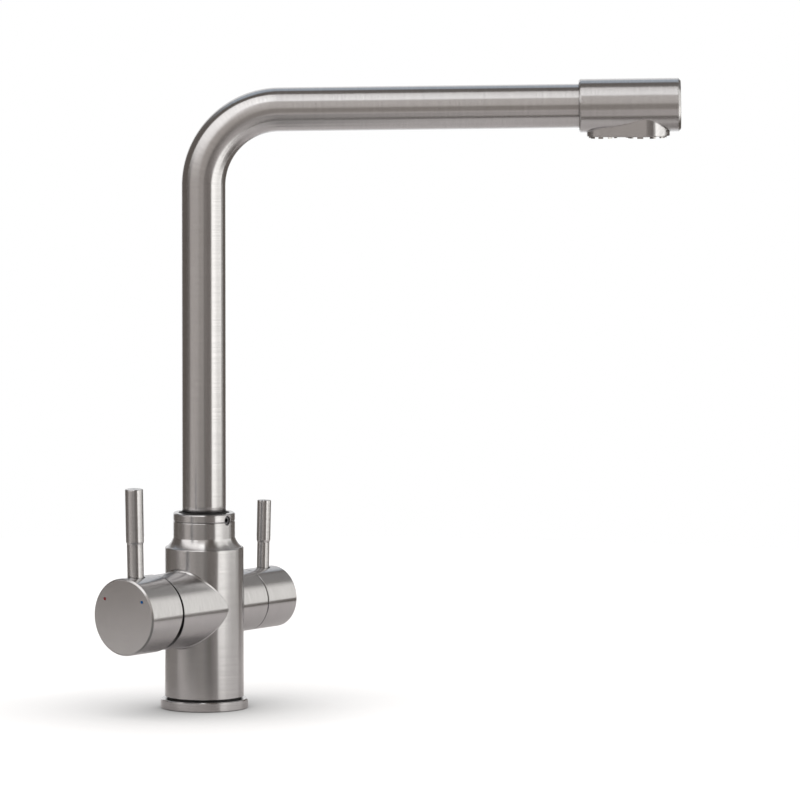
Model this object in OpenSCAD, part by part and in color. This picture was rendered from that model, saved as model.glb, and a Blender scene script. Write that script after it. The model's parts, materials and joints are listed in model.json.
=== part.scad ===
// Three way filtered water tap: mains water and filtered water leave one swivelling spout.
// Origin: centre of the base's underside, on the upright axis. +Z is up, the mixer knob is on -X,
// the filter knob is on +X, and the user stands on the -Y side.

/* [Body] */
// Diameter of the upright body
body_d = 45; // [44:0.5:50]
// Height of the body's shoulder above the worktop
shoulder_z = 92.5; // [91:0.5:100]
// Diameter of the neck that holds the spout
neck_d = 35.4; // [34.5:0.1:36.5]
// Height of the neck's top above the shoulder
neck_h = 19.5; // [19:0.5:26]
// Radius of the hollow curve at the neck's foot
cove_r = 11.4; // [8:0.2:13]
// Chamfer on the body's and the neck's outer edges
body_edge = 0.6; // [0.3:0.1:1]
// Depth and half width of the fine groove round the neck
neck_groove = 0.5; // [0.2:0.05:0.6]
// Distance from the neck's top down to the fine groove
neck_groove_drop = 4.6; // [4:0.1:6]
// Height of the knobs' common axis above the worktop
knob_z = 58.3; // [57:0.1:60]

/* [Base] */
// How far the base ring stands out from the body
ring_lip = 2.4; // [1.5:0.1:4]
// Height of the base ring
ring_h = 5.5; // [4.5:0.1:7]
// Thickness of the black washer between body and base ring
washer_t = 0.6; // [0.4:0.1:1]
// Thickness of the rubber ring in the underside
gasket_t = 1.8; // [1.2:0.1:2.5]
// Height of the ceiling of the hollow in the underside that takes the hose ends
chamber_z = 22; // [20:0.5:24]
// Tapping diameter of the three inlet threads
inlet_d = 9; // [8.5:0.1:10]
// Depth of the inlet threads
inlet_l = 10; // [8:0.5:11]
// Tapping diameter of the fixing stud's thread
stud_d = 6.8; // [5:0.1:8.5]
// Depth of the fixing stud's thread
stud_l = 14; // [10:0.5:15]

/* [Mixer branch and knob] */
// Diameter of the mixer branch where it leaves the body
mixer_branch_d0 = 44.2; // [43.5:0.1:44.5]
// Diameter of the mixer branch at its mouth
mixer_branch_d1 = 42.8; // [42.4:0.1:43.4]
// Diameter of the mixer knob
mixer_knob_d = 44.1; // [43:0.1:46]
// Length of the mixer knob
mixer_knob_l = 26.6; // [25:0.1:32]
// Gap between the branch's mouth and the knob
mixer_gap = 2; // [1.2:0.1:2.2]
// Slope of the relief that lets the knob tilt, in degrees
mixer_relief = 9.5; // [8:0.5:12]
// Height above the knob's axis where the relief starts
mixer_relief_x = 3; // [0:0.5:6]
// Distance of the mixer lever from the knob's front face
mixer_lever_back = 11.5; // [10.5:0.1:13]
// Diameter of the mixer lever's grip
mixer_grip_d = 10.3; // [9.8:0.1:11.5]
// Length of the mixer lever's grip
mixer_grip_l = 31.2; // [25:0.1:50]
// Diameter of the mixer lever's shank
mixer_shank_d = 9.4; // [8:0.1:9.6]
// Visible length of the mixer lever's shank
mixer_shank_l = 19.8; // [15:0.1:25]
// Outward lean of the mixer lever, in degrees
mixer_lean = 1.5; // [0:0.5:4]
// Diameter of the red and blue dots
mark_d = 1.9; // [1.4:0.1:2.6]

/* [Mixer cartridge] */
// Diameter of the mixer cartridge
cartridge_d = 35; // [34.8:0.1:35.2]
// Length of the cartridge without its stem
cartridge_l = 20; // [19.8:0.1:21]
// Distance of the cartridge's seat from the body's axis
mixer_seat = 14; // [13.6:0.1:14.6]
// Tapping diameter of the thread for the cartridge's ring nut
mixer_thread_d = 38.2; // [37.6:0.1:38.6]
// Length of the ring nut
mixer_nut_l = 7; // [6:0.5:8]
// Side of the square stem
stem_side = 8; // [7:0.1:8.2]

/* [Filter branch and knob] */
// Diameter of the filter branch
filter_branch_d = 35; // [34:0.5:36]
// Distance of the filter branch's mouth from the body's axis
filter_mouth = 36; // [35.4:0.1:37]
// Diameter of the filter knob
filter_knob_d = 34.9; // [34:0.1:36]
// Length of the filter knob
filter_knob_l = 25.6; // [23:0.1:30]
// Gap between the branch's mouth and the filter knob
filter_gap = 0.9; // [0.4:0.1:1]
// Distance of the filter lever from the knob's end face
filter_lever_back = 10.7; // [9:0.1:12]
// Diameter of the filter lever's grip
filter_grip_d = 7.9; // [7.4:0.1:9]
// Length of the filter lever's grip
filter_grip_l = 24.2; // [18:0.1:40]
// Diameter of the filter lever's shank
filter_shank_d = 7; // [6:0.1:7.3]
// Visible length of the filter lever's shank
filter_shank_l = 15.2; // [10:0.1:20]
// Outward lean of the filter lever, in degrees
filter_lean = 1.9; // [0:0.1:4]

/* [Filter valve] */
// Tapping diameter of the filter valve's thread
filter_thread_d = 19.2; // [19:0.1:19.6]
// Distance of the filter valve's seat from the body's axis
filter_seat = 16; // [15.6:0.1:16.4]
// Width across the flats of the valve's hexagon
filter_hex = 24; // [23:0.1:24.6]
// Side of the spindle's square end
spindle_side = 8; // [7:0.1:8.2]

/* [Spout] */
// Diameter of the spout tube
tube_d = 25; // [24:0.1:25.6]
// Wall of the spout tube
tube_wall = 1.2; // [1:0.1:1.4]
// Height of the upright tube's top above the worktop, where the bend starts
bend_z = 298.8; // [240:0.2:320]
// Radius of the bend, to the tube's centre line
bend_r = 43.5; // [40:0.5:60]
// Length of the straight arm between the bend and the outlet head
arm_l = 170.4; // [120:0.2:220]
// Rise of the arm above level, in degrees
arm_rise = 0.7; // [0:0.1:6]
// Direction of the spout, seen from above, in degrees from +X
spout_turn = -51; // [-180:1:180]

/* [Spout foot] */
// Diameter of the foot that turns in the neck
foot_d = 27; // [26.6:0.1:27.6]
// Height of the neck chamber's floor above the worktop
neck_floor_z = 84; // [83.5:0.1:84.5]
// Diameter of the foot's nose, which carries filtered water
nose_d = 11; // [10.6:0.1:11.4]
// Length of the nose below the neck chamber's floor
nose_l = 12; // [11:0.1:12.6]
// Outer diameter of the inner hose
hose_d = 8; // [7.6:0.1:8.4]
// Inner diameter of the inner hose
hose_bore = 6.2; // [6:0.1:6.4]

/* [Outlet head] */
// Diameter of the outlet head
head_d = 30.4; // [30:0.1:32]
// Length of the outlet head
head_l = 57.8; // [57:0.2:64]
// Wall of the outlet head
head_wall = 1.8; // [1.6:0.1:2]
// Depth of the boss below the head's axis
boss_drop = 17.3; // [17:0.1:20]
// Distance from the head's rear edge to the filtered outlet's centre
filtered_s = 13.5; // [13:0.1:14]
// Distance between the two outlets' centres
outlet_pitch = 24.5; // [24:0.1:25]
// Diameter of the boss round the mains outlet
mains_boss_d = 27; // [26.8:0.1:27.6]
// Diameter of the boss round the filtered outlet
filtered_boss_d = 18.4; // [18.2:0.1:19]
// Thread diameter of the mains aerator
mains_d = 23.6; // [23:0.1:24]
// Thread diameter of the filtered outlet's aerator
filtered_d = 16.4; // [16:0.1:16.8]
// How far the toothed rims stand below the boss
tooth_h = 1.1; // [0.8:0.1:1.6]
// Number of teeth on the mains aerator
mains_teeth = 10; // [8:1:12]
// Number of teeth on the filtered outlet's aerator
filtered_teeth = 9; // [7:1:11]

/* [Fits] */
// Running clearance on the radius between turning pieces
run = 0.05; // [0.03:0.01:0.1]
// Clearance on the radius between pieces that are put together
fit = 0.1; // [0.05:0.01:0.15]
// Clearance between a piece that moves and the casing round it
free = 0.3; // [0.2:0.05:0.4]

/* [Hidden] */
$fn = 96;
// Overrun of every cut
over = 1;
// Sides of a hulled outline's round ends
hull_fn = 64;
hex_fn = 6;

// Body and base
body_r = body_d / 2;
neck_r = neck_d / 2;
neck_z = shoulder_z + neck_h;
cove_lean_top = 18;
cove_lean_foot = 52;
cove_steps = 10;
groove_z = neck_z - neck_groove_drop;
ring_r = body_r + ring_lip;
ring_edge = 0.6;
body_z = ring_h + washer_t;
body_foot_edge = 0.8;
spigot_inset = 3.1;
spigot_wall = 1.9;
spigot_z = 2.2;
spigot_r = body_r - spigot_inset;
chamber_r = spigot_r - spigot_wall;
gasket_in = 0.8;
gasket_w = 3;
gasket_r0 = spigot_r + fit + gasket_in;
washer_inset = 1.4;
// Places of the inlets: hot and cold stand side by side under the mixer, filtered under its valve
mains_inlet_x_share = 0.54857;
mains_inlet_y_share = 0.45714;
filtered_inlet_x_share = 0.6;
mains_inlet_x = chamber_r * mains_inlet_x_share;
mains_inlet_y = chamber_r * mains_inlet_y_share;
filtered_inlet_x = chamber_r * filtered_inlet_x_share;
water_d = 5.5;
riser_d = 4.6;

// Neck screw
screw_drop = 3.6;
screw_d = 5;
screw_key = 2.5;
screw_key_l = 2;
screw_sink = 1.2;
screw_mouth = 0.5;
point_d = 3.4;

// Spout foot
foot_r = foot_d / 2;
neck_bore_r = foot_r + run;
nose_r = nose_d / 2;
nose_bore_r = nose_r + run;
nose_room = 3;
slide_t = 2;
slide_w = 1.4;
foot_z = neck_floor_z + slide_t;
wiper_t = 0.5;
wiper_w = 2;
wiper_h = 0.6;
wiper_lip = 1;
foot_top_z = neck_z - wiper_t;
tube_r = tube_d / 2;
tube_bore_r = tube_r - tube_wall;
tube_z = foot_top_z;
boss_in_tube_l = 10;
barb_r = hose_bore / 2 - run;
barb_l = 10;
barb_bore_r = 2.2;
barb_top_z = tube_z + boss_in_tube_l + barb_l;
mixed_holes = 5;
mixed_hole_d = 4.4;
mixed_hole_at = (barb_r + tube_bore_r) / 2;
ring_wire = 1.1;
nose_wire = 0.8;
lock_w = 4;
lock_deep = 1.8;
screw_z = neck_z - screw_drop;
ring_shares = [0.28, 0.6];
ring_zs = [for (share = ring_shares) foot_z + share * (foot_top_z - foot_z)];
nose_ring_z = neck_floor_z - nose_l / 2;

// Inner hose
ferrule_l = 8;
ferrule_wall = 0.6;
hose_start_z = tube_z + boss_in_tube_l + fit;

// Bend and arm
bend_sweep = 90 - arm_rise;
// The arm laps into the bend, whose section is a hair larger
seam_lap = 0.05;
seam_step = 0.002;

// Outlet head, along the arm
head_r = head_d / 2;
head_end_s = arm_l + head_l;
head_edge = 0.8;
head_nose = 1.2;
head_bore_r = head_r - head_wall;
head_end_wall = 3;
tube_seat = 5;
tube_end_s = arm_l + tube_seat;
core_s0 = tube_end_s + fit;
core_s1 = head_end_s - head_end_wall - fit;
core_r = head_bore_r - fit;
core_barb_s = core_s0 - barb_l;
filtered_at = arm_l + filtered_s;
mains_at = filtered_at + outlet_pitch;
mains_r = mains_d / 2;
filtered_r = filtered_d / 2;
mains_up = 7;
filtered_up = 8;
aerator_wall = 1.5;
filtered_aerator_wall = 1.2;
aerator_washer_t = 1.5;
insert_t = 4;
insert_lip = 1;
mesh_pitch = 2.6;
mesh_hole = 2;
jet_pitch = 2.8;
jet_hole = 1.6;
tooth_share = 0.5;

// Mixer cartridge, distances along the mixer's axis from the body's axis
// Ports on the cartridge's seat: both inlets below the axis, the outlet above it
inlet_port_x = -5.9;
outlet_port_x = 8;
seal_stand = 0.6;
port_seal_t = 2.2;
port_seal_r = 4.4;
port_r = water_d / 2;
base_a0 = mixer_seat + seal_stand;
base_t = 4;
disc_t = 3.5;
base_a1 = base_a0 + base_t;
fixed_a1 = base_a1 + disc_t;
moving_a1 = fixed_a1 + disc_t;
lid_t = 2.2;
shell_a1 = base_a0 + cartridge_l;
collar_a0 = moving_a1 + free;
collar_a1 = shell_a1 - lid_t - free;
collar_neck = 3.3;
cart_r = cartridge_d / 2;
cart_wall = 3.2;
cart_bore_r = cart_r + fit + fit;
room_r = cart_r - cart_wall;
lid_r = 9.9;
disc_play = 3.2;
moving_r = room_r - disc_play;
pocket_deep = 2;
pocket_r = 3;
finger_r = 2.2;
pivot_rise = 3.1;
pivot_a = collar_a0 + pivot_rise;
pin_r = 1.5;
pin_short = 1;
pin_l = room_r - pin_short;
stem_slot = 15.6;
nut_a0 = shell_a1 + fit;
nut_a1 = shell_a1 + mixer_nut_l;
nut_hole_r = 12.5;
nut_notch_w = 5;
nut_notch_h = 2.2;
thread_r = mixer_thread_d / 2;
dome_skirt = 1.1;
mixer_mouth = nut_a1 + dome_skirt;
dome_r0 = thread_r - fit;
dome_t = 1.6;
dome_gap = 1.4;
dome_hole_r = 10.5;

// Mixer knob
knob_a0 = mixer_mouth + mixer_gap;
knob_a1 = knob_a0 + mixer_knob_l;
knob_r = mixer_knob_d / 2;
knob_wall = 1.85;
// The dome is a ball about the tilting axis that clears the knob's rim
dome_r = norm([knob_a0 - pivot_a, knob_r - knob_wall - dome_gap]);
knob_front = 3.6;
knob_edge = 0.9;
hub_r = 9.5;
hub_a0 = pivot_a + dome_r + free;
socket_l = 10;
stem_end = hub_a0 + socket_l;
lever_a = knob_a1 - mixer_lever_back;
cross_r = 6.5;
lever_root_d = 5;
lever_root_l = 8;
lever_sink = 0.7;
lever_edge = 0.6;
spot_extra = 0.7;
mark_turn = 54.7;
mark_inset = 5.25;
mark_at = knob_r - mark_inset;
mark_deep = 0.5;

// Filter valve and knob, distances along the filter's axis from the body's axis
fbranch_r = filter_branch_d / 2;
fthread_r = filter_thread_d / 2;
recess_deep = 6.6;
recess_a = filter_mouth - recess_deep;
recess_r = filter_hex / cos(180 / hex_fn) / 2 + free;
headwork_lift = 1.5;
headwork_a0 = filter_seat + headwork_lift;
window_room = 7.5;
window_a1 = headwork_a0 + window_room;
window_w = 7;
barrel_step = 1.3;
barrel_r = fthread_r - barrel_step;
barrel_bore_r = 7.5;
barrel_room = 8.6;
headwork_washer_t = 1;
hex_a0 = recess_a + headwork_washer_t;
hex_h = 6;
headneck_r = 8.5;
headneck_l = 7;
headneck_a1 = hex_a0 + hex_h + headneck_l;
spindle_r = 6;
spindle_flange = 2;
spindle_a0 = headwork_a0 + barrel_room - spindle_flange;
seal_a = hex_a0 + hex_h / 2;
fdisc_t = 3.2;
seat_ring_t = 2;
seat_ring_w = 2.6;
moving_b0 = filter_seat + seat_ring_t + fdisc_t;
// The way from the valve up to the room below the nose
outlet_run = filter_seat + port_r;
outlet_climb = neck_floor_z - nose_l - nose_room / 2 - knob_z - barrel_r;
fknob_a0 = filter_mouth + filter_gap;
fknob_a1 = fknob_a0 + filter_knob_l;
fknob_r = filter_knob_d / 2;
fknob_wall = 2;
fknob_front = 4;
fknob_edge = 0.9;
fhub_r = 7.5;
hub_gap = 1;
fhub_a0 = headneck_a1 + hub_gap;
square_l = 10;
flever_a = fknob_a1 - filter_lever_back;
fcross_r = 5.4;
flever_root_d = 4;
small_key = 2;
small_point_d = 2.3;

colour_steel = [0.60, 0.58, 0.56];
colour_dark = [0.12, 0.12, 0.13];
colour_brass = [0.72, 0.58, 0.32];
colour_white = [0.88, 0.88, 0.86];
colour_grey = [0.55, 0.56, 0.58];
colour_red = [0.75, 0.10, 0.12];
colour_blue = [0.08, 0.28, 0.70];

// Shapes that repeat

// A solid or tube turned about Z from radius and height pairs
module turned(points) rotate_extrude() polygon(points);

// A plain rod from height z0 to height z1
module rod(r, z0, z1) translate([0, 0, z0]) cylinder(r = r, h = z1 - z0);

// A cut through heights z0 to z1 that overruns both ends
module bore(r, z0, z1) rod(r, z0 - over, z1 + over);

// A flat ring
module ring(r1, r0, z0, z1) difference() {
    rod(r1, z0, z1);
    bore(r0, z0, z1);
}

// A rod with a chamfer at each end
module barrel(r, z0, z1, c0, c1) turned([
    [0, z0], [r - c0, z0], [r, z0 + c0], [r, z1 - c1], [r - c1, z1], [0, z1]
]);

// A round rubber ring of wire radius w, whose middle circle has radius r, at height z
module o_ring(r, w, z) translate([0, 0, z]) rotate_extrude() translate([r, 0]) circle(r = w);

// A square bar of side s from height z0 to height z1
module bar(s, z0, z1) translate([-s / 2, -s / 2, z0]) cube([s, s, z1 - z0]);

// A hexagon of width s across its flats from height z0 to height z1
module hexagon(s, z0, z1) translate([0, 0, z0])
    cylinder(d = s / cos(180 / hex_fn), h = z1 - z0, $fn = hex_fn);

// A socket set screw whose outer end is at height 0 and whose point is below
module set_screw(d, l, key, key_l, point) {
    cup = (d - point) / 2;
    difference() {
        turned([[0, -l], [point / 2, -l], [d / 2, -l + cup], [d / 2, 0], [0, 0]]);
        hexagon(key, -key_l, over);
    }
}

// The four frames that pieces are built in: Z is the axis, and X is up or down as noted
module mixer_frame() translate([0, 0, knob_z]) rotate([0, -90, 0]) children();
module filter_frame() translate([0, 0, knob_z]) rotate([0, 90, 0]) children();
module spout_frame() rotate([0, 0, spout_turn]) children();
module arm_frame() spout_frame() translate([bend_r, 0, bend_z]) rotate([0, bend_sweep, 0])
    translate([-bend_r, 0, 0]) children();

// Body and base

// Points of the hollow curve between shoulder and neck, from the foot up
function cove_points() = [for (i = [0:cove_steps])
    let (lean = cove_lean_foot + (cove_lean_top - cove_lean_foot) * i / cove_steps)
    [neck_r + cove_r * (cos(cove_lean_top) - cos(lean)),
     shoulder_z + cove_r * (sin(cove_lean_foot) - sin(lean))]];

module upright() turned(concat(
    [[0, body_z], [body_r - body_foot_edge, body_z], [body_r, body_z + body_foot_edge],
     [body_r, shoulder_z - body_edge], [body_r - body_edge, shoulder_z]],
    cove_points(),
    [[neck_r, groove_z - neck_groove], [neck_r - neck_groove, groove_z],
     [neck_r, groove_z + neck_groove], [neck_r, neck_z - body_edge],
     [neck_r - body_edge, neck_z], [0, neck_z]]
));

// Everything cut from above: chamber for the spout's foot, nose bore and the wiper's seat
module neck_cuts() {
    rod(neck_bore_r, neck_floor_z, neck_z + over);
    rod(nose_bore_r, neck_floor_z - nose_l - nose_room, neck_z);
    rod(tube_r + wiper_w + fit, neck_z - wiper_t, neck_z + over);
}

// The set screw's thread in the neck, towards the user, with a countersunk mouth
module neck_screw_hole() translate([0, 0, screw_z]) rotate([90, 0, 0]) {
    rod(screw_d / 2, 0, neck_r + over);
    translate([0, 0, neck_r - screw_mouth])
        cylinder(r1 = screw_d / 2, r2 = screw_d / 2 + screw_mouth + over, h = screw_mouth + over);
}

// Cartridge room, nut thread and the three waterways of the mixer
module mixer_cuts() {
    mixer_frame() {
        rod(cart_bore_r, mixer_seat, mixer_mouth + over);
        rod(thread_r, shell_a1, mixer_mouth + over);
        for (side = [-1, 1])
            translate([inlet_port_x, side * mains_inlet_y, 0]) rod(port_r, mains_inlet_x, mixer_seat + over);
        translate([outlet_port_x, 0, 0]) rod(port_r, mains_inlet_x, mixer_seat + over);
    }
    for (side = [-1, 1])
        translate([-mains_inlet_x, side * mains_inlet_y, 0])
            rod(water_d / 2, chamber_z, knob_z + inlet_port_x);
    translate([-mains_inlet_x, 0, 0]) rod(riser_d / 2, knob_z + outlet_port_x, neck_floor_z + over);
}

// Valve room, its recess, and the filtered water's way in and out
module filter_cuts() {
    filter_frame() {
        rod(fthread_r, filter_seat, filter_mouth + over);
        rod(recess_r, recess_a, filter_mouth + over);
        rod(water_d / 2, filtered_inlet_x, filter_seat + over);
    }
    translate([filtered_inlet_x, 0, 0]) rod(water_d / 2, chamber_z, knob_z);
    translate([outlet_run, 0, knob_z + barrel_r]) rotate([0, -90 + atan2(outlet_climb, outlet_run), 0])
        cylinder(d = riser_d, h = norm([outlet_run, outlet_climb]));
}

module inlet_thread() rod(inlet_d / 2, chamber_z - over, chamber_z + inlet_l);

module valve_body() color(colour_steel) difference() {
    union() {
        upright();
        rod(spigot_r, spigot_z, body_z + over);
        mixer_frame() cylinder(r1 = mixer_branch_d0 / 2, r2 = mixer_branch_d1 / 2, h = mixer_mouth);
        filter_frame() cylinder(r = fbranch_r, h = filter_mouth);
    }
    rod(chamber_r, spigot_z - over, chamber_z);
    for (side = [-1, 1])
        translate([-mains_inlet_x, side * mains_inlet_y, 0]) inlet_thread();
    translate([filtered_inlet_x, 0, 0]) inlet_thread();
    rod(stud_d / 2, chamber_z - over, chamber_z + stud_l);
    neck_cuts();
    neck_screw_hole();
    mixer_cuts();
    filter_cuts();
}

module base_ring() color(colour_steel) difference() {
    barrel(ring_r, 0, ring_h, ring_edge / 2, ring_edge);
    bore(spigot_r + fit, 0, ring_h);
    ring(gasket_r0 + gasket_w, gasket_r0, -over, gasket_t);
}

module base_gasket() color(colour_dark)
    ring(gasket_r0 + gasket_w - fit, gasket_r0 + fit, 0, gasket_t);

module body_washer() color(colour_dark)
    ring(body_r - washer_inset, spigot_r + fit, ring_h, body_z);

module neck_grub_screw() color(colour_dark) translate([0, 0, screw_z]) rotate([90, 0, 0])
    translate([0, 0, neck_r - screw_sink]) {
        body_l = neck_r - screw_sink - neck_bore_r;
        difference() {
            union() {
                rod(screw_d / 2 - fit, -body_l, 0);
                rod(point_d / 2, -body_l - lock_deep / 2 - run, -body_l);
            }
            hexagon(screw_key, -screw_key_l, over);
        }
    }

module neck_wiper_ring() color(colour_dark) turned([
    [tube_r + fit, foot_top_z + fit], [tube_r + wiper_w, foot_top_z + fit], [tube_r + wiper_w, neck_z],
    [tube_r + wiper_lip, neck_z], [tube_r + fit + fit, neck_z + wiper_h], [tube_r + fit, neck_z + wiper_h]
]);

module spout_slide_ring() color(colour_white)
    ring(neck_bore_r - fit, neck_bore_r - fit - slide_w, neck_floor_z, foot_z);

// Mixer cartridge

module mixer_ports(r, z0, z1) {
    for (side = [-1, 1]) translate([inlet_port_x, side * mains_inlet_y, 0]) rod(r, z0, z1);
    translate([outlet_port_x, 0, 0]) rod(r, z0, z1);
}

module mixer_cartridge_base() color(colour_grey) mixer_frame() difference() {
    rod(cart_r, base_a0, base_a1);
    mixer_ports(port_r, base_a0 - over, base_a1 + over);
    mixer_ports(port_seal_r, base_a0 - over, base_a0 + port_seal_t - seal_stand);
}

module mixer_port_seals() color(colour_dark) mixer_frame() difference() {
    mixer_ports(port_seal_r - fit, mixer_seat, mixer_seat + port_seal_t);
    mixer_ports(port_r, mixer_seat - over, mixer_seat + port_seal_t + over);
}

module mixer_cartridge_shell() color(colour_grey) mixer_frame() difference() {
    rod(cart_r, base_a1, shell_a1);
    rod(room_r, base_a1 - over, shell_a1 - lid_t);
    bore(lid_r, base_a1, shell_a1);
}

module mixer_fixed_disc() color(colour_white) mixer_frame() difference() {
    rod(room_r - fit, base_a1, fixed_a1);
    mixer_ports(port_r, base_a1 - over, fixed_a1 + over);
}

module mixer_cartridge_nut() color(colour_brass) mixer_frame() difference() {
    ring(thread_r - fit, nut_hole_r, nut_a0, nut_a1);
    for (turn = [0, 90])
        rotate([0, 0, turn]) translate([-thread_r, -nut_notch_w / 2, nut_a1 - nut_notch_h])
            cube([mixer_thread_d, nut_notch_w, nut_notch_h + over]);
}

module mixer_dome() color(colour_dark) mixer_frame() difference() {
    intersection() {
        translate([0, 0, pivot_a]) sphere(r = dome_r);
        rod(dome_r0, nut_a1, pivot_a + dome_r);
    }
    translate([0, 0, pivot_a]) sphere(r = dome_r - dome_t);
    bore(dome_hole_r, nut_a1, pivot_a + dome_r);
}

// Mixer handle

module mixer_stem_collar() color(colour_white) mixer_frame() difference() {
    union() {
        rod(room_r - free, collar_a0, collar_a1);
        rod(lid_r - free, collar_a0, collar_a1 + collar_neck);
    }
    translate([-stem_slot / 2, -stem_side / 2 - free, collar_a0 - over])
        cube([stem_slot, stem_side + free + free, collar_a1 + collar_neck - collar_a0 + over + over]);
    translate([0, 0, pivot_a]) rotate([90, 0, 0]) rod(pin_r + run, -room_r, room_r);
}

module mixer_stem_pin() color(colour_steel) mixer_frame()
    translate([0, 0, pivot_a]) rotate([90, 0, 0]) rod(pin_r, -pin_l, pin_l);

module mixer_moving_disc() color(colour_white) mixer_frame() difference() {
    rod(moving_r, fixed_a1, moving_a1);
    rod(pocket_r, moving_a1 - pocket_deep, moving_a1 + over);
    rod(moving_r - cart_wall, fixed_a1 - over, fixed_a1 + (disc_t - pocket_deep) / 2);
}

module mixer_stem() color(colour_brass) mixer_frame() {
    tip_a = moving_a1 - pocket_deep + free + finger_r;
    difference() {
        union() {
            bar(stem_side, collar_a0 + free + pin_r / 2, stem_end);
            rod(finger_r, tip_a, pivot_a);
            translate([0, 0, tip_a]) sphere(r = finger_r);
        }
        translate([0, 0, pivot_a]) rotate([90, 0, 0]) rod(pin_r + run, -stem_side, stem_side);
    }
}

// The knob's round shell, relieved behind and below so that it can tilt
module mixer_shell() difference() {
    barrel(knob_r, knob_a0, knob_a1, lever_edge / 2, knob_edge);
    rod(knob_r - knob_wall, knob_a0 - over, knob_a1 - knob_front);
    translate([mixer_relief_x, 0, knob_a0]) rotate([0, mixer_relief, 0])
        translate([-mixer_knob_d - mixer_knob_d, -mixer_knob_d, -mixer_knob_d])
            cube([mixer_knob_d + mixer_knob_d, mixer_knob_d + mixer_knob_d, mixer_knob_d]);
}

// Direction in which a lever stands on its knob; the screw below shares its axis
module mixer_lever_frame() translate([0, 0, lever_a]) rotate([0, 90 - mixer_lean, 0]) children();

module mixer_cap() color(colour_steel) mixer_frame() difference() {
    union() {
        mixer_shell();
        rod(hub_r, hub_a0, knob_a1 - knob_front + over);
        intersection() {
            mixer_lever_frame() rod(cross_r, -knob_r, knob_r);
            rod(knob_r - knob_wall / 2, hub_a0, knob_a1);
        }
    }
    bar(stem_side + fit, hub_a0 - over, stem_end + free);
    mixer_lever_frame() {
        rod(lever_root_d / 2 + fit, hub_r - lever_root_l / 2, knob_r + over);
        rod(mixer_shank_d / 2 + spot_extra, knob_r - lever_sink, knob_r + over);
        rod(screw_d / 2, -knob_r - over, 0);
    }
    for (side = [-1, 1]) mark_frame(side) rod(mark_d / 2, -mark_deep, over);
}

// A point on the knob's face where a dot sits; side 1 is the hot one, away from the user
module mark_frame(side) rotate([0, 0, side * mark_turn]) translate([mark_at, 0, knob_a1]) children();

module mixer_lever() color(colour_steel) mixer_frame() mixer_lever_frame() {
    foot = knob_r - lever_sink;
    step = foot + mixer_shank_l;
    top = step + mixer_grip_l;
    shank = mixer_shank_d / 2;
    grip = mixer_grip_d / 2;
    turned([
        [0, foot - lever_root_l], [lever_root_d / 2, foot - lever_root_l], [lever_root_d / 2, foot],
        [shank, foot], [shank, step], [grip - lever_edge / 2, step], [grip, step + lever_edge / 2],
        [grip, top - lever_edge], [grip - lever_edge, top], [0, top]
    ]);
}

module mixer_cap_screw() color(colour_dark) mixer_frame() mixer_lever_frame()
    rotate([0, 180, 0]) translate([0, 0, knob_r - screw_sink])
        set_screw(screw_d - fit - fit, knob_r - screw_sink - stem_side / 2 - fit,
                  screw_key, screw_key_l, point_d);

module mark(side) mixer_frame() mark_frame(side) rod(mark_d / 2 - run, -mark_deep, 0);
module hot_mark() color(colour_red) mark(1);
module cold_mark() color(colour_blue) mark(-1);

// Filter valve

module filter_headwork() color(colour_brass) filter_frame() difference() {
    union() {
        rod(barrel_r, headwork_a0, hex_a0 + over);
        rod(fthread_r - fit, window_a1, hex_a0 + over);
        hexagon(filter_hex, hex_a0, hex_a0 + hex_h);
        rod(headneck_r, hex_a0 + over, headneck_a1);
    }
    rod(barrel_bore_r, headwork_a0 - over, headwork_a0 + barrel_room);
    bore(spindle_r + run, headwork_a0, headneck_a1);
    translate([-fthread_r, -window_w / 2, headwork_a0 + fdisc_t])
        cube([filter_thread_d, window_w, window_a1 - headwork_a0 - fdisc_t - fdisc_t / 2]);
}

module filter_headwork_washer() color(colour_dark) filter_frame()
    ring(recess_r - free, fthread_r + fit, recess_a, hex_a0);

module filter_seat_seal() color(colour_dark) filter_frame()
    ring(barrel_bore_r - fit, barrel_bore_r - seat_ring_w, filter_seat, filter_seat + seat_ring_t);

module filter_fixed_disc() color(colour_white) filter_frame() difference() {
    rod(barrel_bore_r - fit, filter_seat + seat_ring_t, filter_seat + seat_ring_t + fdisc_t);
    translate([0, 0, filter_seat + seat_ring_t]) half_window();
}

module filter_moving_disc() color(colour_white) filter_frame() difference() {
    rod(barrel_bore_r - free, moving_b0, spindle_a0 - run);
    translate([0, 0, moving_b0]) half_window();
}

// The half round window in a ceramic disc
module half_window() intersection() {
    translate([0, 0, -over]) cylinder(r = barrel_bore_r - seat_ring_w, h = fdisc_t + over + over);
    translate([0, -barrel_bore_r, -over])
        cube([barrel_bore_r, barrel_bore_r + barrel_bore_r, fdisc_t + over + over]);
}

module filter_spindle() color(colour_brass) filter_frame() difference() {
    union() {
        rod(spindle_r, spindle_a0, fhub_a0 - over);
        rod(barrel_bore_r - free, spindle_a0, headwork_a0 + barrel_room - run);
        bar(spindle_side, fhub_a0 - over, fhub_a0 + square_l);
    }
    ring(spindle_r + over, spindle_r - nose_wire - nose_wire, seal_a - nose_wire, seal_a + nose_wire);
}

module filter_spindle_seal() color(colour_dark) filter_frame()
    o_ring(spindle_r - nose_wire, nose_wire - run, seal_a);

module filter_lever_frame() translate([0, 0, flever_a]) rotate([0, -90 + filter_lean, 0]) children();

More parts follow.
